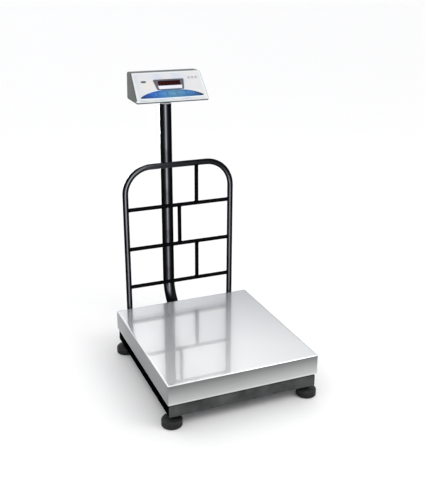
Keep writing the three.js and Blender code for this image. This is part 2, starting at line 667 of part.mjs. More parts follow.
// A three-pin appliance inlet in the casing's back.
function buildInlet() {
  const { x, z, width, height, depth } = INLET;
  const face = CASE.back + GAP;
  const outer = face + INLET_FLANGE.thickness;
  const spanX = (size) => [x - size / 2, x + size / 2];
  const spanZ = (size) => [z - size / 2, z + size / 2];
  const body = block(spanX(width), [outer - depth, outer - PAST], spanZ(height));
  const plate = block(spanX(INLET_FLANGE.width), [face, outer], spanZ(INLET_FLANGE.height));
  const cavity = INLET_CAVITY;
  const mouth = block(spanX(cavity.width), [outer - cavity.depth, outer + PAST], spanZ(cavity.height));
  const pins = [-1, 0, 1].map((side) => {
    const across = x + side * PIN.spread;
    const pinZ = z + (side === 0 ? PIN.rise : -PIN.rise);
    const ys = [outer - cavity.depth - PAST, outer - cavity.depth + PIN.length];
    const zs = [pinZ - PIN.height / 2, pinZ + PIN.height / 2];
    return block([across - PIN.width / 2, across + PIN.width / 2], ys, zs);
  });
  piece(scale, "power_inlet", join([cut(join([body, plate]), [mouth]), ...pins]), DARK_PLASTIC);
}

// The power switch's rocker, lying over to its off side.
function buildRocker() {
  const { x, z, width, height, depth, crown, tilt, pivot } = ROCKER;
  const half = height / 2;
  const outline = new THREE.Shape([
    v(-depth, -half, 0),
    v(crown + pivot - depth, -half, 0),
    v(pivot - depth, 0, 0),
    v(crown + pivot - depth, half, 0),
    v(-depth, half, 0),
  ].map((p) => v(p.x + pivot, p.y, 0)));
  const rocker = alongX(outline, width).rotateX(THREE.MathUtils.degToRad(-tilt));
  piece(scale, "power_rocker", rocker.translate(x, CASE.back - pivot, z), DARK_PLASTIC);
}

buildBaseRails();
buildBaseBeam();
buildFeet();
buildLoadCell();
buildCellBolts();
buildWeighingFrame();
buildButtons();
buildOverloadStops();
buildPlatter();
buildGuard();
buildGuardBrackets();
buildColumn();
buildColumnSocket();
buildSwivel();
buildCable();
buildCasing();
buildPanel();
buildBattery();
buildInlet();
buildRocker();
scale.add(panel);

// The exported origin is on the floor, in the middle of the footprint.
const frontmost = -(FOOT.y + FOOT.radius);
const rearmost = CASE.back + GAP + INLET_FLANGE.thickness;
scale.position.y = -(frontmost + rearmost) / 2;

export default scale;
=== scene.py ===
import math

import bmesh
import bpy
from mathutils import Matrix, Vector


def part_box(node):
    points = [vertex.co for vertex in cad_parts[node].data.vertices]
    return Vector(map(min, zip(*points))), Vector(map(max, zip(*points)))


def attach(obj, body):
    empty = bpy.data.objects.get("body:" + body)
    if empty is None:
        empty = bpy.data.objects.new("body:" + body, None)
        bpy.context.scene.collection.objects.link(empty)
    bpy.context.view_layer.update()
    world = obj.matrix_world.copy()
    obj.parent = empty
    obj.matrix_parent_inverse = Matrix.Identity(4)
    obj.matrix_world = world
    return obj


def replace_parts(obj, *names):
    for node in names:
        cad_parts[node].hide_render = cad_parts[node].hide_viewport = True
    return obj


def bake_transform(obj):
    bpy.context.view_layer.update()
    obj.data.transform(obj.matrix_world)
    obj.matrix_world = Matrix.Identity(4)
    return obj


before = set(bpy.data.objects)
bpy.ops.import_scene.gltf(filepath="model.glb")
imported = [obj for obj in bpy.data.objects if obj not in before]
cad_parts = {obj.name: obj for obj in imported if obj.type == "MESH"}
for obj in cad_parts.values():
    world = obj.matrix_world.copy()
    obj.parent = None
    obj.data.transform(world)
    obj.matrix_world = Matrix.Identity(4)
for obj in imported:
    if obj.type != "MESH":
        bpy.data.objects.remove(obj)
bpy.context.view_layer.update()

MM = 0.001
AXIS = 0.001 * MM  # the radius that closes a turned profile at its axis
CORNERS = {"front_left": (-1, -1), "front_right": (1, -1), "rear_left": (-1, 1), "rear_right": (1, 1)}


# ---- Camera, light and floor ----

CAMERA_PLACE = Vector((-0.8377, -2.1320, 1.2821))
CAMERA_AZIMUTH = -22.47  # degrees; 0 looks along +Y
CAMERA_ELEVATION = 20.80
CAMERA_ROLL = 0.17
CAMERA_LENS = 53.14  # on a 36 mm sensor
KEY_PLACE, KEY_AIM, KEY_SIZE, KEY_POWER = (1.6, -1.9, 2.4), (0, 0, 0.4), (1.4, 1.4), 22
STRIP_AIM, STRIP_SIZE = (0, 0.33, 0.6), (0.9, 1.4)
TUBE_STRIPS = (  # name, place and power
    ("tube_strip", (-0.79, -2.46, 0.7), 2500),
    ("rear_tube_strip", (0.3, 3.1, 0.7), 1500),
)
FLOOR_REACH = 60
TUBES = ("column_tube", "guard_tube")  # the pieces that the strip lights reach


def make_camera():
    camera = bpy.data.objects.new("camera", bpy.data.cameras.new("camera"))
    bpy.context.collection.objects.link(camera)
    camera.data.lens = CAMERA_LENS
    camera.data.clip_end = 200
    pitch = math.radians(90 - CAMERA_ELEVATION)
    turn = Matrix.Rotation(math.radians(CAMERA_AZIMUTH), 4, "Z") @ Matrix.Rotation(pitch, 4, "X")
    roll = Matrix.Rotation(math.radians(CAMERA_ROLL), 4, "Z")
    camera.matrix_world = Matrix.Translation(CAMERA_PLACE) @ turn @ roll
    bpy.context.scene.camera = camera


def make_light(name, place, target, size, power):
    lamp = bpy.data.lights.new(name, "AREA")
    lamp.shape = "RECTANGLE"
    lamp.size, lamp.size_y = size
    lamp.energy = power
    light = bpy.data.objects.new(name, lamp)
    bpy.context.collection.objects.link(light)
    light.location = place
    light.rotation_euler = (Vector(target) - Vector(place)).to_track_quat("-Z", "Y").to_euler()
    return light


WORLD_STRENGTH = 1.5
# The studio's brightness from the horizon (0) to overhead (1), then from far left (0) to far right (1).
SKY_BY_HEIGHT = [
    (0.22, (0.9, 0.9, 0.91)),
    (0.47, (1, 1, 1)),
    (0.33, (0.05, 0.06, 0.1)),
    (0.4, (0.05, 0.06, 0.1)),
    (0.88, (1, 1, 1)),
    (1.0, (0.5, 0.5, 0.52)),
]
SKY_ACROSS = [
    (0.0, (0.72, 0.72, 0.72)),
    (1.0, (0.8, 0.8, 0.8)),
    (0.6, (1, 1, 1)),
    (0.73, (0.66, 0.66, 0.66)),
]


def colour_ramp(tree, value, stops):
    """A colour ramp over `value`; its first two stops take the ramp's own elements."""
    ramp = tree.nodes.new("ShaderNodeValToRGB")
    elements = ramp.color_ramp.elements
    for i, (place, colour) in enumerate(stops):
        element = elements[i] if i < 2 else elements.new(place)
        element.position = place
        element.color = (*colour, 1)
    tree.links.new(value, ramp.inputs["Fac"])
    return ramp.outputs["Color"]


def make_world():
    """An even studio: bright at the horizon and high up, a dark band between, a duller zenith."""
    world = bpy.data.worlds.new("studio")
    bpy.context.scene.world = world
    world.use_nodes = True
    tree = world.node_tree
    tree.nodes.clear()
    coords = tree.nodes.new("ShaderNodeTexCoord")
    split = tree.nodes.new("ShaderNodeSeparateXYZ")
    across = tree.nodes.new("ShaderNodeMapRange")
    across.inputs["From Min"].default_value = -1
    mix = tree.nodes.new("ShaderNodeMixRGB")
    mix.blend_type = "MULTIPLY"
    mix.inputs["Fac"].default_value = 1
    background = tree.nodes.new("ShaderNodeBackground")
    background.inputs["Strength"].default_value = WORLD_STRENGTH
    output = tree.nodes.new("ShaderNodeOutputWorld")
    tree.links.new(coords.outputs["Generated"], split.inputs[0])
    tree.links.new(split.outputs["X"], across.inputs["Value"])
    tree.links.new(colour_ramp(tree, split.outputs["Z"], SKY_BY_HEIGHT), mix.inputs["Color1"])
    tree.links.new(colour_ramp(tree, across.outputs["Result"], SKY_ACROSS), mix.inputs["Color2"])
    tree.links.new(mix.outputs["Color"], background.inputs["Color"])
    tree.links.new(background.outputs[0], output.inputs["Surface"])


def make_studio():
    make_world()
    bpy.context.scene.view_settings.view_transform = "Standard"
    make_light("key", KEY_PLACE, KEY_AIM, KEY_SIZE, KEY_POWER)
    mesh = bpy.data.meshes.new("floor")
    corners = [(x * FLOOR_REACH, y * FLOOR_REACH, 0) for x, y in ((-1, -1), (1, -1), (1, 1), (-1, 1))]
    mesh.from_pydata(corners, [], [(0, 1, 2, 3)])
    floor = bpy.data.objects.new("floor", mesh)
    bpy.context.collection.objects.link(floor)
    floor.data.materials.append(finish("floor_paper", (0.95, 0.95, 0.95), 0.8, mottle=0.005))


def light_tubes(pieces):
    """Tall strip lights, before and behind, that draw a soft line down the black tubes and nothing else."""
    lit = bpy.data.collections.new("tubes")
    for piece in pieces:
        lit.objects.link(piece)
    for name, place, power in TUBE_STRIPS:
        strip = make_light(name, place, STRIP_AIM, STRIP_SIZE, power)
        strip.visible_diffuse = False
        strip.light_linking.receiver_collection = lit


# ---- Materials ----

GRAIN_DEPTH = 0.2 * MM


class Finish:
    """A material made of one Principled shader, with textures in the object's own coordinates."""

    def __init__(self, name, **sockets):
        self.material = bpy.data.materials.new(name)
        self.material.use_nodes = True
        self.tree = self.material.node_tree
        self.shader = self.tree.nodes["Principled BSDF"]
        self.coords = self.tree.nodes.new("ShaderNodeTexCoord").outputs["Object"]
        self.normal = None
        for socket, value in sockets.items():
            self.shader.inputs[socket.replace("_", " ")].default_value = value

    def node(self, kind, **inputs):
        made = self.tree.nodes.new(kind)
        for name, value in inputs.items():
            self.feed(made.inputs[name.replace("_", " ")], value)
        return made

    def feed(self, socket, value):
        if isinstance(value, bpy.types.NodeSocket):
            self.tree.links.new(value, socket)
        else:
            socket.default_value = value

    def stretched(self, scale):
        mapping = self.node("ShaderNodeMapping", Vector=self.coords)
        mapping.inputs["Scale"].default_value = scale
        return mapping.outputs["Vector"]

    def noise(self, scale, detail=4, stretch=None):
        vector = self.stretched(stretch) if stretch else self.coords
        return self.node("ShaderNodeTexNoise", Vector=vector, Scale=scale, Detail=detail).outputs["Fac"]

    def ramp(self, fac, stops):
        return colour_ramp(self.tree, fac, stops)

    def remap(self, value, low, high):
        made = self.node("ShaderNodeMapRange", Value=value, To_Min=low, To_Max=high)
        return made.outputs["Result"]

    def height(self):
        return self.node("ShaderNodeSeparateXYZ", Vector=self.coords).outputs["Z"]

    def bump(self, height, strength, distance):
        made = self.node("ShaderNodeBump", Height=height, Strength=strength, Distance=distance)
        if self.normal:
            self.feed(made.inputs["Normal"], self.normal)
        self.normal = made.outputs["Normal"]
        self.feed(self.shader.inputs["Normal"], self.normal)

    def stretch_gloss(self, axis):
        """Turns the anisotropic gloss about one axis, all over the piece."""
        tangent = self.tree.nodes.new("ShaderNodeTangent")
        tangent.direction_type = "RADIAL"
        tangent.axis = axis
        self.feed(self.shader.inputs["Tangent"], tangent.outputs[0])

    def colour(self, socket):
        self.feed(self.shader.inputs["Base Color"], socket)

    def roughness(self, socket):
        self.feed(self.shader.inputs["Roughness"], socket)


def shades(colour, spread):
    dark = tuple(max(0, c * (1 - spread)) for c in colour)
    light = tuple(min(1, c * (1 + spread)) for c in colour)
    return [(0.3, dark), (0.7, light)]


def finish(name, colour, rough, mottle=0.06, grain=900, bump=0.1, **sockets):
    """A moulded, coated or rubber surface: fine texture, slight colour and gloss variation."""
    made = Finish(name, **sockets)
    made.colour(made.ramp(made.noise(18, 3), shades(colour, mottle)))
    made.roughness(made.remap(made.noise(35, 5), rough * 0.85, min(1, rough * 1.15)))
    made.bump(made.noise(grain, 3), bump, GRAIN_DEPTH)
    return made.material


def black_coat():
    """Gloss black powder coat: faint orange peel, duller here and there, and edges kept black."""
    edge = {"Metallic": 1.0, "Specular_Tint": (0.2, 0.2, 0.2, 1)}
    made = Finish("black_powder_coat", Anisotropic=0.7, Anisotropic_Rotation=0.25, **edge)
    blacks = [(0.35, (0.0034, 0.0035, 0.0039)), (0.75, (0.0048, 0.005, 0.0056))]
    made.colour(made.ramp(made.noise(9, 6), blacks))
    made.roughness(made.remap(made.noise(28, 6), 0.45, 0.53))
    made.bump(made.noise(420, 2), 0.05, GRAIN_DEPTH)
    made.stretch_gloss("Z")
    return made.material


def frame_coat():
    """The same powder coat on flat tube: its mottle is dust and scuffs, and its overall grey is painted light,
    a lighter copy of the near-black coat.
    """
    made = Finish("frame_powder_coat", Specular_IOR_Level=0.25)
    # Dust and scuffs in the mottle, over a grey that stands in for the light on the frame's lit faces.
    dust_and_lit_grey = made.ramp(made.noise(22, 8), [(0.35, (0.026, 0.028, 0.028)), (0.72, (0.07, 0.073, 0.072))])
    made.colour(dust_and_lit_grey)
    made.roughness(made.remap(made.noise(40, 6), 0.35, 0.55))
    made.bump(made.noise(500, 2), 0.15, 0.0003)
    return made.material


def brushed(name, along, colour, rough, painted_height_shade=None, streaks=0.12, **sockets):
    """Brushed metal: long fine scratches along one axis, over slow cloudy variation, and, where a painted
    height shade is given, painted shade and reflection that change with height.
    """
    stretch = tuple(6.0 if axis == along else 900.0 for axis in "XYZ")
    made = Finish(name, **{"Metallic": 1.0, **sockets})
    if "Anisotropic" in sockets:
        made.stretch_gloss("X")
    scratches = made.noise(1.0, 4, stretch)
    clouds = made.noise(3.5, 3)
    tone = made.node("ShaderNodeMath", Value=scratches)
    tone.operation = "ADD"
    made.feed(tone.inputs[1], clouds)
    steel = made.ramp(tone.outputs[0], [(0.7, tuple(c * (1 - streaks) for c in colour)), (1.0, colour)])
    if painted_height_shade:
        low, high, stops = painted_height_shade
        place = made.node("ShaderNodeMapRange", Value=made.height(), From_Min=low, From_Max=high)
        shade = made.ramp(place.outputs["Result"], stops)
        mix = made.node("ShaderNodeMixRGB", Fac=1.0, Color1=steel, Color2=shade)
        mix.blend_type = "MULTIPLY"
        steel = mix.outputs["Color"]
    made.colour(steel)
    made.roughness(made.remap(scratches, rough * 0.75, rough * 1.35))
    made.bump(scratches, 0.08, 0.0001)
    return made.material


def build_materials():
    steel = (0.86, 0.87, 0.88)
    low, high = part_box("platter")
    # Painted reflection and shade on the skirts: bright at the hem, darker towards the top edge, and the side
    # skirt darker than the front.
    front = [(0.0, (1, 1, 0.99)), (0.06, (1, 1, 0.99)), (0.12, (0.8, 0.81, 0.8)), (0.9, (0.3, 0.31, 0.31))]
    front_painted_shade = (low.z, high.z, front)
    side_painted_shade = (low.z, high.z, [(0.0, (1, 1, 1)), (0.08, (0.72, 0.73, 0.74)), (1.0, (0.6, 0.61, 0.62))])
    polish = {"Coat_Weight": 1.0, "Coat_Roughness": 0.03, "Coat_IOR": 1.85}
    polish.update({"Anisotropic": 0.5, "Metallic": 0.8})
    return {
        "coat": black_coat(),
        "frame_coat": frame_coat(),
        "platter_top": brushed("stainless_top", "X", steel, 0.22, streaks=0.035, **polish),
        # Painted shade: the front and side skirts take darker copies of the top's stainless, by which way they
        # face.
        "platter_front": brushed("stainless_front", "X", (0.64, 0.65, 0.64), 0.3, front_painted_shade),
        "platter_side": brushed("stainless_side", "Y", (0.42, 0.425, 0.43), 0.3, side_painted_shade, streaks=0.35),
        "zinc": brushed("zinc_plate", "Z", (0.5, 0.51, 0.53), 0.38),
        "aluminium": brushed("milled_aluminium", "Y", (0.62, 0.63, 0.65), 0.35),
        "rubber": finish("black_rubber", (0.014, 0.014, 0.0145), 0.6, 0.4, 500, 0.3, Specular_IOR_Level=0.3),
        "case": finish("grey_abs", (0.108, 0.119, 0.112), 0.5, 0.08, 1400, 0.25, Specular_IOR_Level=0.12),
        "case_front": finish("light_grey_abs", (0.69, 0.72, 0.72), 0.42, 0.04, 1400, 0.25),
        "film": panel_film(),
        "white_print": finish("white_print", (0.78, 0.88, 0.93), 0.32, 0.01, 1600, 0.05),
        "grey_print": finish("grey_print", (0.36, 0.38, 0.41), 0.35, 0.05, 1600, 0.05),
        "badge": finish("blank_badge", (0.07, 0.09, 0.1), 0.3, 0.08, 1200, 0.05),
        "blue": blue_print("blue_print", 0.9),
        # Painted highlight: the keys take the field's blue made lighter, standing for the light on their
        # domes.
        "key": blue_print("key_blue", 1.15),
        "bezel": finish("bezel_grey", (0.085, 0.08, 0.1), 0.32, 0.08, 1200, 0.15),
        "silver": finish("silver_surround", (0.72, 0.73, 0.8), 0.3, 0.03, 1500, 0.05),
        "filter": finish("smoked_red_filter", (0.022, 0.0012, 0.002), 0.2, 0.2, 60, 0.02,
                         Specular_IOR_Level=0.05),
        "digit": finish("unlit_segment", (0.045, 0.0025, 0.003), 0.5, 0.1, 900, 0.05, Specular_IOR_Level=0.1),
        "dark": finish("black_moulding", (0.022, 0.022, 0.024), 0.45, 0.15, 1100, 0.2),
        "board": finish("solder_mask", (0.01, 0.09, 0.04), 0.35, 0.15, 700, 0.1),
    }


def panel_film():
    """The pale printed film, drifting between cool and warm whites."""
    made = Finish("panel_film", Roughness=0.35)
    drift = made.noise(16, 3)
    stops = [(0.3, (0.5, 0.57, 0.68)), (0.5, (0.64, 0.65, 0.67)), (0.68, (0.7, 0.67, 0.65))]
    made.colour(made.ramp(drift, stops))
    made.bump(made.noise(1600, 2), 0.06, GRAIN_DEPTH)
    return made.material


BLUES = [
    (0.03, (0.006, 0.022, 0.07)),
    (0.98, (0.004, 0.018, 0.055)),
    (0.09, (0.012, 0.06, 0.3)),
    (0.24, (0.016, 0.12, 0.42)),
    (0.38, (0.045, 0.19, 0.43)),
    (0.55, (0.08, 0.23, 0.38)),
    (0.76, (0.032, 0.15, 0.35)),
    (0.9, (0.016, 0.09, 0.26)),
]


def blue_print(name, gain):
    """The keypad's printed field: royal blue at the left, lighter in the middle, navy at its tips."""
    made = Finish(name, Roughness=0.35, Specular_IOR_Level=0.3)
    low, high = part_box("front_panel")
    across = made.node("ShaderNodeSeparateXYZ", Vector=made.coords).outputs["X"]
    place = made.node("ShaderNodeMapRange", Value=across, From_Min=low.x, From_Max=high.x)
    drifting = made.node("ShaderNodeMath", Value=place.outputs["Result"])
    drifting.operation = "ADD"
    made.feed(drifting.inputs[1], made.remap(made.noise(14, 3), -0.05, 0.05))
    shades_across = [(where, tuple(min(1, c * gain) for c in colour)) for where, colour in BLUES]
    made.colour(made.ramp(drifting.outputs[0], shades_across))
    made.bump(made.noise(1500, 2), 0.05, GRAIN_DEPTH)
    return made.material


# ---- Mesh building ----


def add_object(name, mesh, material, body, angle=35):
    piece = bpy.data.objects.new(name, mesh)
    bpy.context.collection.objects.link(piece)
    mesh.materials.append(material)
    mesh.shade_smooth()
    mesh.set_sharp_from_angle(angle=math.radians(angle))
    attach(piece, body)
    return piece


def from_bmesh(name, bm, material, body, matrix=None, angle=35):
    bmesh.ops.recalc_face_normals(bm, faces=bm.faces)
    if matrix:
        bm.transform(matrix)
    mesh = bpy.data.meshes.new(name)
    bm.to_mesh(mesh)
    bm.free()
    return add_object(name, mesh, material, body, angle)


def loft(name, loops, material, body, closed=False, matrix=None, angle=35):
    """A skin over loops of equally many points, open with end caps or closed on itself."""
    bm = bmesh.new()
    rings = [[bm.verts.new(point) for point in loop] for loop in loops]
    count = len(rings[0])
    pairs = list(zip(rings, rings[1:])) + ([(rings[-1], rings[0])] if closed else [])
    for ring, after in pairs:
        for i in range(count):
            j = (i + 1) % count
            bm.faces.new((ring[i], ring[j], after[j], after[i]))
    if not closed:
        bm.faces.new(rings[0])
        bm.faces.new(rings[-1])
    return from_bmesh(name, bm, material, body, matrix, angle)


def arc(centre, radius, start, end, steps):
    """Points of an arc in a plane, its angles in degrees."""
    turn = [math.radians(start + (end - start) * i / steps) for i in range(steps + 1)]
    return [(centre[0] + radius * math.cos(a), centre[1] + radius * math.sin(a)) for a in turn]


def rounded_rectangle(x0, x1, y0, y1, radius, steps=5):
    left, right, low, high = x0 + radius, x1 - radius, y0 + radius, y1 - radius
    centres = ((right, high), (left, high), (left, low), (right, low))
    points = []
    for i, centre in enumerate(centres):
        points += arc(centre, radius, 90 * i, 90 * (i + 1), steps)
    return points


def turned(name, profile, place, material, body, sides=64, axis="Z", angle=35):
    """A turned piece: the profile is a list of (radius, height), the axis stands at `place`."""
    loops = []
    for radius, height in profile:
        turn = [2 * math.pi * i / sides for i in range(sides)]
        loops.append([(radius * math.cos(a), radius * math.sin(a), height) for a in turn])
    quarter = math.radians(90)
    turns = {"X": Matrix.Rotation(quarter, 4, "Y"), "Y": Matrix.Rotation(-quarter, 4, "X"), "Z": Matrix()}
    closed = profile[0] == profile[-1]
    loops = loops[:-1] if closed else loops
    matrix = Matrix.Translation(place) @ turns[axis]
    return loft(name, loops, material, body, closed=closed, matrix=matrix, angle=angle)


def swing(start, end, share):
    """A radius vector part of the way round from one direction to another."""
    return start.slerp(end, share) * start.length


def filleted(corners, radius, steps=16):
    """A polyline with its inner corners replaced by arcs."""
    route = [Vector(corners[0])]
    for before, corner, after in zip(corners, corners[1:], corners[2:]):
        corner = Vector(corner)
        back = (Vector(before) - corner).normalized()
        ahead = (Vector(after) - corner).normalized()
        half = back.angle(ahead) / 2
        reach = radius / math.tan(half)
        centre = corner + (back + ahead).normalized() * (radius / math.sin(half))
        start = corner + back * reach - centre
        end = corner + ahead * reach - centre
        route += [centre + swing(start, end, i / steps) for i in range(steps + 1)]
    return route + [Vector(corners[-1])]


def tube(name, route, radius, wall, material, body, sides=48):
    """A round tube along a route that stays in one plane."""
    across = None
    for a, b, c in zip(route, route[1:], route[2:]):
        normal = (b - a).cross(c - b)
        if normal.length > 1e-9:
            across = normal.normalized()
            break
    if across is None:
        across = (route[1] - route[0]).normalized().orthogonal()
    loops = []
    for i, point in enumerate(route):
        ahead = (route[min(i + 1, len(route) - 1)] - point).normalized()
        back = (point - route[max(i - 1, 0)]).normalized()
        along = (ahead + back).normalized()
        up = across.cross(along).normalized()
        turn = [2 * math.pi * k / sides for k in range(sides)]
        loops.append([(point, across * math.cos(a) + up * math.sin(a)) for a in turn])
    outer = [[p + d * radius for p, d in loop] for loop in loops]
    if not wall:
        return loft(name, outer, material, body)
    inner = [[p + d * (radius - wall) for p, d in loop] for loop in reversed(loops)]
    return loft(name, outer + inner, material, body, closed=True)


def plate(name, outline, holes, bottom, top, material, body, matrix=None, chamfer=0.0):
    """A flat plate with holes, in the plane of its matrix."""
    bm = bmesh.new()
    edges = []
    for loop in [outline, *holes]:
        ring = [bm.verts.new((x, y, bottom)) for x, y in loop]
        edges += [bm.edges.new((a, b)) for a, b in zip(ring, ring[1:] + ring[:1])]
    bmesh.ops.triangle_fill(bm, edges=edges, use_beauty=True)
    made = bmesh.ops.extrude_face_region(bm, geom=bm.faces[:])["geom"]
    for vert in (g for g in made if isinstance(g, bmesh.types.BMVert)):
        vert.co.z = top
    if chamfer:
        rim = [e for e in bm.edges if all(abs(vert.co.z - top) < 1e-9 for vert in e.verts)]
        rim = [e for e in rim if e.calc_face_angle(0) > 1]
        bmesh.ops.bevel(bm, geom=rim, offset=chamfer, segments=2, affect="EDGES", profile=0.5)
    return from_bmesh(name, bm, material, body, matrix)


def remade(node, body, material, bevel):
    """A CAD piece with its edges broken: same shape, softened by a small bevel."""
    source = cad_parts[node]
    bm = bmesh.new()
    bm.from_mesh(source.data)
    bmesh.ops.remove_doubles(bm, verts=bm.verts, dist=1e-6)
    bmesh.ops.dissolve_limit(bm, angle_limit=math.radians(1), verts=bm.verts, edges=bm.edges)
    sharp = [e for e in bm.edges if len(e.link_faces) == 2 and e.calc_face_angle(0) > math.radians(40)]
    bmesh.ops.bevel(bm, geom=sharp, offset=bevel, segments=2, affect="EDGES", clamp_overlap=True)
    piece = from_bmesh(node + "_finished", bm, material, body)
    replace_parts(piece, node)
    return piece


def prism(name, sides, radius, place, height, material, body, axis="Z", chamfer=0.06):
    """A hexagon nut or bolt head with its corners turned down."""
    cut = radius * chamfer
    profile = [(radius - cut, 0), (radius, cut), (radius, height - cut), (radius - cut, height)]
    return turned(name, profile, place, material, body, sides=sides, axis=axis, angle=20)


# ---- Base ----


def build_base_frame(m):
    """Four lengths of square tube, mitred and welded into one frame, with rounded tube corners."""
    front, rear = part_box("base_rail_front"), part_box("base_rail_rear")
    left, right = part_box("base_rail_left"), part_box("base_rail_right")
    x0, x1, y0, y1 = left[0].x, right[1].x, front[0].y, rear[1].y
    z0, z1 = front[0].z, front[1].z
    section = z1 - z0
    outline = rounded_rectangle(0, section, z0, z1, 3.5 * MM, 4)
    corners = ((x0, y0, 1, 1), (x1, y0, -1, 1), (x1, y1, -1, -1), (x0, y1, 1, -1))
    loops = [[(x + sx * inset, y + sy * inset, z) for inset, z in outline] for x, y, sx, sy in corners]
    frame_piece = loft("base_frame", loops, m["frame_coat"], "base", closed=True)
    # Painted shade: the faces towards left and right take the near-black coat and all other faces the greyer
    # frame coat, so the rails' sides read darker than their fronts and tops.
    frame_piece.data.materials.append(m["coat"])
    for face in frame_piece.data.polygons:
        face.material_index = 1 if abs(face.normal.x) > 0.5 else 0
    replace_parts(frame_piece, *[f"base_rail_{side}" for side in ("front", "rear", "left", "right")])
    sunk, bead = 1.3 * MM, 1.5 * MM
    for name, (x, y, sx, sy) in zip("abcd", corners):
        start = Vector((x + sx * sunk, y + sy * sunk, z0 + 4 * MM))
        end = Vector((x + sx * sunk, y + sy * sunk, z1 - 4 * MM))
        tube(f"corner_weld_{name}", [start, start.lerp(end, 0.5), end], bead, 0, m["frame_coat"], "base", 12)


def build_feet(m):
    for corner in CORNERS:
        node = f"foot_pad_{corner}"
        body = f"foot_{corner}"
        low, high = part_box(node)
        centre = (low + high) / 2
        radius, height = (high.x - low.x) / 2, high.z
        groove = 1.0 * MM
        profile = [(AXIS, 0), (radius * 0.84, 0), (radius - 2 * MM, 0.8 * MM)]
        profile += [(radius - 0.6 * MM, 2.2 * MM), (radius, 4 * MM)]
        for z in (7, 10.5, 14):  # three grip grooves, their starts in millimetres
            profile += [(radius, z * MM), (radius - groove, (z + 0.6) * MM)]
            profile += [(radius - groove, (z + 1.2) * MM), (radius, (z + 1.8) * MM)]
        profile += [(radius, height - 9 * MM), (radius - 0.8 * MM, height - 6.5 * MM)]
        profile += [(radius - 3.2 * MM, height - 3.6 * MM), (radius - 8 * MM, height - 1.8 * MM)]
        profile += [(radius * 0.5, height - 0.6 * MM), (radius * 0.42, height), (AXIS, height)]
        place = Vector((centre.x, centre.y, 0))
        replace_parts(turned(f"foot_{corner}_rubber", profile, place, m["rubber"], body), node)
        build_stud(m, corner, body, place)


def build_stud(m, corner, body, place):
    low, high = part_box(f"foot_stud_{corner}")
    radius = (high.x - low.x) / 2
    pitch = 1.75 * MM
    turns = int((high.z - low.z) / pitch)
    profile = [(AXIS, low.z)]
    for i in range(turns):
        z = low.z + i * pitch
        profile += [(radius - 1.0 * MM, z + 0.1 * pitch), (radius, z + 0.45 * pitch)]
        profile.append((radius, z + 0.6 * pitch))
    profile += [(radius - 1.2 * MM, high.z), (AXIS, high.z)]
    stud = turned(f"foot_{corner}_thread", profile, place, m["zinc"], body, sides=32)
    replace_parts(stud, f"foot_stud_{corner}")
    rail_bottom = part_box("base_rail_front")[0].z
    nut_height = 7 * MM
    nut_place = Vector((place.x, place.y, rail_bottom - nut_height - 0.3 * MM))
    prism(f"foot_locknut_{corner}", 6, 11 * MM, nut_place, nut_height, m["zinc"], "base")


# ---- Platter ----


def build_platter(m):
    """A tray folded from one sheet: rounded top edges, tight corners and a hem along the bottom."""
    low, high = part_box("platter")
    fold, sheet, hem = 3.2 * MM, 1.5 * MM, 2.6 * MM
    corner = 3.4 * MM
    steps = 5

    def ring(inset, z):
        radius = max(corner - inset, 0.2 * MM)
        loop = rounded_rectangle(low.x + inset, high.x - inset, low.y + inset, high.y - inset, radius, steps)
        return [(x, y, z) for x, y in loop]

    folds = arc((0, 0), 1, 90, 0, 8)
    top = [ring(fold * (1 - c), high.z - fold * (1 - s)) for c, s in folds]
    bottom = [ring(0, low.z + hem)]
    bead = hem / 2
    bottom += [ring(bead - bead * c, low.z + bead + bead * s) for c, s in arc((0, 0), 1, 0, -180, 8)]
    bottom += [ring(hem, low.z + 9 * MM), ring(sheet, low.z + 9.5 * MM)]
    under = [ring(sheet, high.z - fold), ring(fold, high.z - sheet)]
    middle = 60 * MM
    loops = [ring(middle, high.z), ring(8 * MM, high.z)] + top + bottom + under
    loops.append(ring(middle, high.z - sheet))
    platter = loft("platter_tray", loops, m["platter_top"], "platter", angle=50)
    platter.data.materials.append(m["platter_front"])
    platter.data.materials.append(m["platter_side"])
    # Painted shade: the skirt's faces take the darker front and side copies of the stainless, by which way
    # they face.
    for face in platter.data.polygons:
        if abs(face.normal.z) < 0.5:
            face.material_index = 1 if abs(face.normal.y) > abs(face.normal.x) else 2
    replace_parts(platter, "platter")


# ---- Weighing gear under the platter ----


def build_weighing_gear(m):
    """The beams, stops and buttons, and the load cell."""
    remade("base_beam", "base", m["frame_coat"], 1.0 * MM)
    cell = remade("load_cell", "base", m["aluminium"], 0.5 * MM)
    ends = []
    for end in ("lower", "upper"):
        boxes = [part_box(f"load_cell_bolt_{end}_{i}") for i in (1, 2)]
        ends.append(sum((low + high for low, high in boxes), Vector()) / 4)
    ends[1].z = ends[0].z
    cell.parent = None  # the load cell is left without a parent
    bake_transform(cell)
    remade("top_beam", "weighing_frame", m["frame_coat"], 1.0 * MM)
    for side in ("front", "rear"):
        remade(f"top_rail_{side}", "weighing_frame", m["frame_coat"], 1.2 * MM)
    for end, body in (("lower", "base"), ("upper", "weighing_frame")):
        for i in (1, 2):
            remade(f"load_cell_bolt_{end}_{i}", body, m["zinc"], 0.4 * MM)
    for corner in CORNERS:
        remade(f"overload_stop_{corner}", "base", m["zinc"], 0.4 * MM)
        node = f"platter_button_{corner}"
        low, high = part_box(node)
        radius = (high.x - low.x) / 2
        place = Vector(((low.x + high.x) / 2, (low.y + high.y) / 2, low.z))
        height = high.z - low.z
        profile = [(AXIS, 0), (radius - 0.6 * MM, 0), (radius, 0.6 * MM), (radius, 4.6 * MM)]
        profile += [(radius - 0.8 * MM, 5.4 * MM), (radius - 2.2 * MM, height - 1.6 * MM)]
        profile += [(radius - 3.4 * MM, height - 0.3 * MM), (radius - 5 * MM, height), (AXIS, height)]
        button = turned(f"button_{corner}", profile, place, m["rubber"], "weighing_frame", sides=40)
        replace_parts(button, node)


# ---- Guard ----


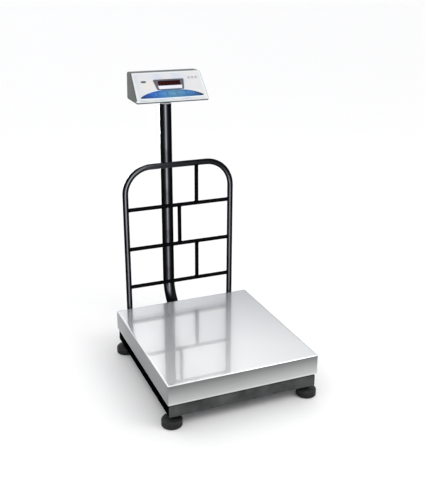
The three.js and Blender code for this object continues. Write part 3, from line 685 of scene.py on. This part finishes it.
def welded_rod(name, node, axis, start, end, radius, material):
    """A rod whose ends flare into the weld fillets that join it to its neighbours."""
    length = end[axis] - start[axis]
    bead = 2.4 * MM
    flare = [(radius + bead * (1 - math.sin(a)), bead * (1 - math.cos(a))) for a in
             [math.radians(90 * i / 5) for i in range(6)]]
    profile = [(AXIS, 0)] + flare + [(r, length - h) for r, h in reversed(flare)] + [(AXIS, length)]
    kind = "X" if axis == 0 else "Z"
    piece = turned(name, profile, start, material, "base", sides=32, axis=kind, angle=50)
    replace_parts(piece, node)


def build_guard(m):
    low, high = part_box("guard_hoop")
    radius, wall, bend = (high.y - low.y) / 2, 1.5 * MM, 93 * MM
    y = (low.y + high.y) / 2
    x, top = high.x - radius, high.z - radius
    corners = [(-x, y, low.z), (-x, y, top), (x, y, top), (x, y, low.z)]
    hoop = tube("guard_tube", filleted(corners, bend), radius, wall, m["coat"], "base")
    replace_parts(hoop, "guard_hoop")

    levels = {"over": top}
    for level in ("top", "middle", "bottom"):
        bar_low, bar_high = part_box(f"guard_bar_{level}")
        levels[level] = (bar_low.z + bar_high.z) / 2
        bar_radius = (bar_high.z - bar_low.z) / 2
        z = levels[level]
        inset = radius - 1.2 * MM
        start, end = Vector((-x + inset, y, z)), Vector((x - inset, y, z))
        welded_rod(f"guard_crossbar_{level}", f"guard_bar_{level}", 0, start, end, bar_radius, m["coat"])
    above = {"top": "over", "middle": "top", "bottom": "middle"}
    for level, upper in above.items():
        stub_low, stub_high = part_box(f"guard_upright_{level}")
        stub_radius = (stub_high.x - stub_low.x) / 2
        across = (stub_low.x + stub_high.x) / 2
        reach = (radius if upper == "over" else bar_radius) - 1.0 * MM
        start = Vector((across, y, levels[level] + bar_radius - 1.0 * MM))
        end = Vector((across, y, levels[upper] - reach))
        welded_rod(f"guard_stub_{level}", f"guard_upright_{level}", 2, start, end, stub_radius, m["coat"])
    for side in ("left", "right"):
        remade(f"guard_bracket_{side}", "base", m["frame_coat"], 1.2 * MM)
        b_low, b_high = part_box(f"guard_bracket_{side}")
        middle = Vector(((b_low.x + b_high.x) / 2, b_high.y, (b_low.z + b_high.z) / 2))
        prism(f"guard_bracket_screw_{side}", 6, 6.5 * MM, middle, 5 * MM, m["zinc"], "base", axis="Y")


# ---- Column and swivel ----


def build_column(m):
    low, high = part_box("column")
    radius, wall, bend = (high.x - low.x) / 2, 2 * MM, 117 * MM
    leg = low.z + radius
    y = high.y - radius
    corners = [(0, low.y, leg), (0, y, leg), (0, y, high.z)]
    column = tube("column_tube", filleted(corners, bend, 28), radius, wall, m["coat"], "base", 72)
    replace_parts(column, "column")

    remade("column_socket", "base", m["frame_coat"], 0.8 * MM)
    s_low, s_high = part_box("column_socket")
    sleeve = (s_high.z - s_low.z) / 2
    bead = [(sleeve - 0.6 * MM, 0), (sleeve + 3 * MM, 0), (sleeve + 1.8 * MM, 1.6 * MM), (sleeve, 3 * MM)]
    bead += [(sleeve - 0.6 * MM, 3 * MM), (sleeve - 0.6 * MM, 0)]
    plate_back = s_low.y + 6.5 * MM
    turned("socket_weld", bead, Vector((0, plate_back, leg)), m["frame_coat"], "base", axis="Y")
    for side in (-1, 1):
        for rise in (-1, 1):
            place = Vector((side * 38 * MM, plate_back, s_low.z + 23 * MM + rise * 12 * MM))
            prism(f"socket_bolt_{side + 1}{rise + 1}", 6, 6.5 * MM, place, 5.3 * MM, m["zinc"], "base",
                  axis="Y")
    for i, y_screw in enumerate((s_high.y - 26 * MM, s_high.y - 10 * MM)):
        place = Vector((0, y_screw, s_high.z - 0.5 * MM))
        prism(f"socket_clamp_screw_{i + 1}", 6, 5 * MM, place, 5 * MM, m["zinc"], "base")


def build_swivel(m):
    plug_low, plug_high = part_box("swivel_plug")
    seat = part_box("column")[1].z + 0.3 * MM
    collar_low, collar_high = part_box("swivel_collar")
    radius = (plug_high.x - plug_low.x) / 2
    axis_place = Vector((0, (plug_low.y + plug_high.y) / 2, 0))
    gap = 0.3 * MM
    top = collar_low.z - gap
    bore, neck, journal, soft = 7 * MM, radius - 2.3 * MM, 12 * MM, 0.5 * MM
    profile = [(bore, plug_low.z), (neck - soft, plug_low.z), (neck, plug_low.z + soft), (neck, seat)]
    profile += [(radius - soft, seat), (radius, seat + soft), (radius, top - soft), (radius - soft, top)]
    profile += [(journal, top), (journal, plug_high.z), (bore, plug_high.z), (bore, plug_low.z)]
    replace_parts(turned("swivel_plug_turned", profile, axis_place, m["zinc"], "base"), "swivel_plug")
    inner, wide = journal + 0.5 * MM, (collar_high.x - collar_low.x) / 2
    step = collar_high.z - 4 * MM
    profile = [(inner, collar_low.z), (radius - soft, collar_low.z), (radius, collar_low.z + soft)]
    profile += [(radius, step - 1 * MM), (radius + 1 * MM, step), (wide - soft, step), (wide, step + soft)]
    profile += [(wide, collar_high.z), (inner, collar_high.z), (inner, collar_low.z)]
    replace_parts(turned("swivel_collar_turned", profile, axis_place, m["coat"], "indicator"), "swivel_collar")
    for i in range(4):
        angle = math.radians(45 + 90 * i)
        reach = wide - 6 * MM
        place = axis_place + Vector((reach * math.cos(angle), reach * math.sin(angle), step - 2.4 * MM))
        dome = [(AXIS, 0), (2 * MM, 0.2 * MM), (3.4 * MM, 1.2 * MM), (3.6 * MM, 2.4 * MM), (AXIS, 2.4 * MM)]
        turned(f"collar_screw_{i + 1}", dome, place, m["zinc"], "indicator", sides=24)


# ---- Indicator ----

CASE_HALF = 131.5 * MM
CASE_DEPTH = 141 * MM
CASE_RIDGE = 85.5 * MM  # from the front edge back to the top of the slope
CASE_BACK_GAP = 3.3 * MM  # from the base plate's rear edge to the casing's
CASE_WALL = 3 * MM
CASE_ROUND = 7 * MM
CASE_EDGE = 6 * MM
DRAFT_BACK = 0.29  # how much narrower the casing gets per metre towards the back
DRAFT_UP = 0.13  # and per metre upwards
OPENING = (-42.5 * MM, 42.5 * MM, 69 * MM, 91 * MM)  # the display's, on the slope
VENTS, VENT_INSET, VENT_LENGTH, VENT_DEPTH = 7, 22 * MM, 46 * MM, 1.2 * MM
VENT_TOP, VENT_PITCH, VENT_HALF = 20, 5, 1 * MM  # the first two in millimetres, down from the casing's top


class Casing:
    """The casing's measures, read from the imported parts."""

    def __init__(self):
        low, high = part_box("housing_shell")
        self.left = low.x
        self.half = CASE_HALF
        self.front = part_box("housing_base")[1].y + CASE_BACK_GAP - CASE_DEPTH
        self.back = self.front + CASE_DEPTH
        self.ridge = self.front + CASE_RIDGE
        self.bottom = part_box("housing_base")[0].z
        self.top = high.z
        self.slope = math.atan2(self.top - self.bottom, self.ridge - self.front)
        turn = Matrix.Rotation(self.slope, 4, "X")
        self.panel = Matrix.Translation((0, self.front, self.bottom)) @ turn

    def corners(self, inset=0.0):
        """The section's corners in (y, z), every side moved inwards by `inset`."""
        front, back, ridge, bottom, top = self.front, self.back, self.ridge, self.bottom, self.top
        points = [Vector(p) for p in ((front, bottom), (back, bottom), (back, top), (ridge, top))]
        moved = []
        for i, corner in enumerate(points):
            before = (points[i - 1] - corner).normalized()
            after = (points[(i + 1) % 4] - corner).normalized()
            half = before.angle(after) / 2
            moved.append(corner + (before + after).normalized() * inset / math.sin(half))
        return moved

    def section(self, inset, radius, x, steps=6):
        """The rounded section at `x`, with the casing's draft."""
        points = self.corners(inset)
        loop = []
        for i, corner in enumerate(points):
            before = (points[i - 1] - corner).normalized()
            after = (points[(i + 1) % 4] - corner).normalized()
            half = before.angle(after) / 2
            reach = radius / math.tan(half)
            centre = corner + (before + after).normalized() * radius / math.sin(half)
            start, end = corner + before * reach - centre, corner + after * reach - centre
            loop += [centre + swing(start, end, k / steps) for k in range(steps + 1)]
        return [(x * self.draft(y, z), y, z) for y, z in loop]

    def draft(self, y, z):
        return 1 - (y - self.front) * DRAFT_BACK - (z - self.bottom) * DRAFT_UP


def subtract(piece, cutters):
    """Cuts the cutters out of the piece and removes them."""
    for cutter in cutters:
        modifier = piece.modifiers.new("cut", "BOOLEAN")
        modifier.operation = "DIFFERENCE"
        modifier.solver = "EXACT"
        modifier.object = cutter
    bpy.context.view_layer.update()
    depsgraph = bpy.context.evaluated_depsgraph_get()
    mesh = bpy.data.meshes.new_from_object(piece.evaluated_get(depsgraph))
    piece.modifiers.clear()
    piece.data = mesh
    mesh.shade_smooth()
    mesh.set_sharp_from_angle(angle=math.radians(35))
    for cutter in cutters:
        bpy.data.objects.remove(cutter)


def cutter_box(name, x, y, z):
    corners = [(x[0], y[0]), (x[1], y[0]), (x[1], y[1]), (x[0], y[1])]
    return loft(name, [[(a, b, z[0]) for a, b in corners], [(a, b, z[1]) for a, b in corners]],
                bpy.data.materials["black_moulding"], "indicator")


def build_casing(m, case):
    """A hollow wedge, vented behind, open below and at the display; its front is lighter than the rest."""
    ends = []
    for i in range(7):
        angle = math.radians(15 * i)
        inset = CASE_EDGE * (1 - math.cos(angle))
        ends.append((inset, case.half - CASE_EDGE + CASE_EDGE * math.sin(angle)))
    loops = [case.section(i, CASE_ROUND - i, -x) for i, x in reversed(ends)]
    loops += [case.section(i, CASE_ROUND - i, x) for i, x in ends]
    shell = loft("indicator_casing", loops, m["case"], "indicator")
    inner_half = case.half - CASE_WALL
    inner = [case.section(CASE_WALL, 2 * MM, -inner_half), case.section(CASE_WALL, 2 * MM, inner_half)]
    floor = case.bottom + CASE_WALL + 1 * MM
    inner = [[(x, y, case.bottom - 5 * MM if z < floor else z) for x, y, z in loop] for loop in inner]
    hollow = loft("hollow", inner, m["dark"], "indicator")
    x0, x1, y0, y1 = OPENING
    outline = [(x0, y0), (x1, y0), (x1, y1), (x0, y1)]
    opening = plate("opening", outline, [], -8 * MM, 2 * MM, m["dark"], "indicator", case.panel)
    cutters = [hollow, opening]
    for node, margin in (("power_inlet", -6.3 * MM), ("power_rocker", 1 * MM)):
        n_low, n_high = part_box(node)
        sink = (case.back - 8 * MM, case.back + 4 * MM)
        zs = (n_low.z - margin / 2, n_high.z + margin / 2)
        cutters.append(cutter_box("hole", (n_low.x - margin, n_high.x + margin), sink, zs))
    for i in range(VENTS):
        side = case.left + VENT_INSET
        level = case.top - (VENT_TOP + VENT_PITCH * i) * MM
        sink = (case.back - VENT_DEPTH, case.back + 4 * MM)
        across, tall = (side, side + VENT_LENGTH), (level - VENT_HALF, level + VENT_HALF)
        cutters.append(cutter_box("vent", across, sink, tall))
    subtract(shell, cutters)
    facing = case.panel.to_3x3() @ Vector((0, 0, 1))
    shell.data.materials.clear()
    shell.data.materials.append(m["case"])
    shell.data.materials.append(m["case_front"])
    for face in shell.data.polygons:
        rounding = 0.2 if face.center.z < (case.bottom + case.top) / 2 else 0.8
        face.material_index = 1 if face.normal.dot(facing) > rounding else 0
    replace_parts(shell, "housing_shell")
    remade("housing_base", "indicator", m["case"], 0.4 * MM)


FILM_HALF, FILM_LOW, FILM_HIGH = 117 * MM, 13 * MM, 120 * MM
FILM_TOP = 1.3 * MM  # above the casing's slope
KEY_LINE, KEY_PITCH = 36.5 * MM, 34 * MM
KEY_HALF_LENGTH, KEY_HALF_HEIGHT = 12 * MM, 6.5 * MM


def panel_outline():
    return rounded_rectangle(-FILM_HALF, FILM_HALF, FILM_LOW, FILM_HIGH, 6 * MM)


def field_outline(grow=0.0, steps=40):
    """The keypad's printed field: flat below, arched above, with rounded tips."""
    half, bottom, crest, tip = 113 * MM + grow, 21 * MM - grow, 53 * MM + grow, 6 * MM
    points = []
    for i in range(steps + 1):
        share = -1 + 2 * i / steps
        points.append((half * share, bottom + 1.5 * MM * share * share))
    for i in range(steps + 1):
        share = 1 - 2 * i / steps
        arch = (1 - abs(share) ** 2.6) ** 0.9
        points.append((half * share, bottom + tip + (crest - bottom - tip) * arch))
    return points


def key_outline(place, grow=0.0):
    half_length, half_height = KEY_HALF_LENGTH + grow, KEY_HALF_HEIGHT + grow
    return rounded_rectangle(place - half_length, place + half_length, KEY_LINE - half_height,
                             KEY_LINE + half_height, half_height - 0.05 * MM, 10)


def bezel_loop(grow, z, steps=6):
    """The display bezel's outline: a trapezoid, wider at its top."""
    top, bottom, radius = 95 * MM + grow, 52.5 * MM - grow, 4 * MM
    wide, narrow = 56 * MM + grow, 48 * MM + grow
    points = [Vector(p) for p in ((wide, top), (-wide, top), (-narrow, bottom), (narrow, bottom))]
    loop = []
    for i, corner in enumerate(points):
        before = (points[i - 1] - corner).normalized()
        after = (points[(i + 1) % 4] - corner).normalized()
        half = before.angle(after) / 2
        bow = max(radius + grow, 1 * MM)
        reach = bow / math.tan(half)
        centre = corner + (before + after).normalized() * bow / math.sin(half)
        start, end = corner + before * reach - centre, corner + after * reach - centre
        loop += [centre + swing(start, end, k / steps) for k in range(steps + 1)]
    return [(p.x, p.y, z) for p in loop]


def build_panel(m, case):
    keys = [(i - 2) * KEY_PITCH for i in range(5)]
    holes = [[(x, y) for x, y, _ in bezel_loop(0.2 * MM, 0)]]
    holes += [key_outline(place, 0.6 * MM) for place in keys]
    film = plate("front_film", panel_outline(), holes, 0.3 * MM, FILM_TOP, m["film"], "indicator", case.panel)
    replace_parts(film, "front_panel")
    key_holes = [key_outline(place, 0.7 * MM) for place in keys]
    prints = (("field_border", field_outline(2.2 * MM), 0.08 * MM, "white_print"),
              ("blue_field", field_outline(), 0.16 * MM, "blue"))
    for name, outline, thick, ink in prints:
        plate(name, outline, key_holes, FILM_TOP, FILM_TOP + thick, m[ink], "indicator", case.panel)
    for i, place in enumerate(keys):
        steps = ((0, 1.0), (0, 1.7), (-0.35, 2.15), (-1.2, 2.38), (-2.6, 2.4))  # growth and height, in mm
        loops = [[(x, y, z * MM) for x, y in key_outline(place, grow * MM)] for grow, z in steps]
        cap = loft(f"key_cap_{i + 1}", loops, m["key"], f"key_{i + 1}", matrix=case.panel, angle=60)
        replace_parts(cap, f"key_{i + 1}")


WINDOW = (-39.5 * MM, 40.5 * MM, 71 * MM, 89 * MM)
BEZEL_TOP = 2.8 * MM
RINGS, RING_LINE = (76, 89, 102), 98 * MM  # the rings' places across, in millimetres, and their height


def window_loop(grow, z):
    x0, x1, y0, y1 = WINDOW
    outline = rounded_rectangle(x0 - grow, x1 + grow, y0 - grow, y1 + grow, 1 * MM + max(grow, 0), 6)
    return [(x, y, z) for x, y in outline]


def build_display(m, case):
    """The bezel, its filter and silver surround, with a blank badge and three plain rings beside it."""
    rim = [bezel_loop(0, 0.3 * MM), bezel_loop(0, 2.2 * MM), bezel_loop(-0.6 * MM, BEZEL_TOP)]
    rim += [window_loop(1.6 * MM, BEZEL_TOP), window_loop(0.4 * MM, 2.0 * MM), window_loop(0, 0.3 * MM)]
    bezel = loft("bezel_rim", rim, m["bezel"], "indicator", closed=True, matrix=case.panel, angle=30)
    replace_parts(bezel, "display_bezel")
    pane_outline = [(x, y) for x, y, _ in window_loop(1.5 * MM, 0)]
    pane = plate("display_pane", pane_outline, [], -2.2 * MM, 0, m["filter"], "indicator", case.panel)
    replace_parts(pane, "display_window")
    x0, x1, y0, y1 = WINDOW
    upper, lower = y0 - 2.5 * MM, y0 - 15.5 * MM
    label = [(x0 - 4 * MM, upper), (x0 - 1 * MM, lower), (x1 + 1 * MM, lower), (x1 + 3.5 * MM, upper)]
    plate("display_label", label, [], BEZEL_TOP, 3.0 * MM, m["silver"], "indicator", case.panel)
    build_digits(m, case)
    badge = rounded_rectangle(-99 * MM, -81 * MM, 84 * MM, 92 * MM, 3.9 * MM)
    plate("blank_badge", badge, [], FILM_TOP, 1.6 * MM, m["badge"], "indicator", case.panel)
    for i, across in enumerate(RINGS):
        place = case.panel @ Vector((across * MM, RING_LINE, FILM_TOP))
        ring = [(1.8 * MM, 0), (5 * MM, 0), (4.8 * MM, 0.3 * MM), (2 * MM, 0.3 * MM), (1.8 * MM, 0)]
        ring_piece = turned(f"status_ring_{i + 1}", ring, Vector(), m["grey_print"], "indicator", sides=32)
        ring_piece.data.transform(Matrix.Translation(place) @ case.panel.to_3x3().to_4x4())


# Each segment's middle, in half widths and half heights, and whether it lies or stands.
SEGMENTS = ((0, 1, "h"), (0, 0, "h"), (0, -1, "h"), (-1, 0.5, "v"), (1, 0.5, "v"), (-1, -0.5, "v"),
            (1, -0.5, "v"))
DIGITS = 6


def build_digits(m, case):
    """Six unlit seven-segment digits behind the filter's face, in one mesh."""
    x0, x1, y0, y1 = WINDOW
    half_width, half_height, thick, lean = 3.3 * MM, 5.4 * MM, 0.75 * MM, 0.12
    pitch = (x1 - x0) / DIGITS
    bm = bmesh.new()
    for digit in range(DIGITS):
        centre = Vector((x0 + pitch * (digit + 0.5), (y0 + y1) / 2))
        for sx, sy, kind in SEGMENTS:
            middle = Vector((sx * half_width, sy * half_height))
            reach = (half_width if kind == "h" else half_height / 2) - 0.35 * MM
            long, wide = Vector((1, 0)), Vector((0, 1))
            if kind == "v":
                long, wide = wide, long
            shape = [(-reach, 0), (thick - reach, thick), (reach - thick, thick)]
            shape += [(-a, -b) for a, b in shape]
            points = [centre + middle + long * a + wide * b for a, b in shape]
            points = [(p.x + (p.y - centre.y) * lean, p.y) for p in points]
            low = [bm.verts.new((x, y, 0)) for x, y in points]
            high = [bm.verts.new((x, y, 0.12 * MM)) for x, y in points]
            bm.faces.new(low)
            bm.faces.new(high)
            for i in range(6):
                j = (i + 1) % 6
                bm.faces.new((low[i], low[j], high[j], high[i]))
    from_bmesh("unlit_digits", bm, m["digit"], "indicator", case.panel)


BACK_SCREW = (116 * MM, 14 * MM)  # how far from the middle, and from the casing's top and bottom
RATING_HALF, RATING_TOP, RATING_BOTTOM = 34 * MM, 12 * MM, 46 * MM


def build_back(m, case):
    """On the casing's rear: its four corner screws and a blank rating plate."""
    across, inset = BACK_SCREW
    rim = [(AXIS, 0.6 * MM), (1 * MM, 0.6 * MM), (1.1 * MM, 1.3 * MM), (3 * MM, 1.1 * MM)]
    rim += [(3.6 * MM, 0.4 * MM), (3.6 * MM, -1 * MM), (AXIS, -1 * MM)]
    for side, x in (("left", -across), ("right", across)):
        for level, z in (("low", case.bottom + inset), ("high", case.top - inset)):
            place = Vector((x, case.back + 0.2 * MM, z))
            turned(f"back_screw_{side}_{level}", rim, place, m["zinc"], "indicator", sides=24, axis="Y")
    facing = Matrix.Translation((0, case.back, 0)) @ Matrix.Rotation(math.radians(90), 4, "X")
    low, high = case.top - RATING_BOTTOM, case.top - RATING_TOP
    label = rounded_rectangle(-RATING_HALF, RATING_HALF, low, high, 2 * MM)
    plate("rating_plate_blank", label, [], -0.5 * MM, 0.5 * MM, m["aluminium"], "indicator", facing)


def build_indicator(m):
    case = Casing()
    build_casing(m, case)
    build_back(m, case)
    build_panel(m, case)
    build_display(m, case)


def plain_finishes(m):
    """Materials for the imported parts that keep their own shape."""
    chosen = {
        "display_module": "dark", "main_board": "board", "battery": "dark", "power_inlet": "dark",
        "power_rocker": "dark", "load_cell_cable": "dark", "indicator_lead": "dark",
    }
    for node, name in chosen.items():
        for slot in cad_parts[node].material_slots:
            slot.material = m[name]


make_camera()
make_studio()
materials = build_materials()
build_base_frame(materials)
build_feet(materials)
build_platter(materials)
build_weighing_gear(materials)
build_guard(materials)
build_column(materials)
build_swivel(materials)
build_indicator(materials)
plain_finishes(materials)
light_tubes([obj for obj in bpy.data.objects if obj.type == "MESH" and obj.name.startswith(TUBES)])
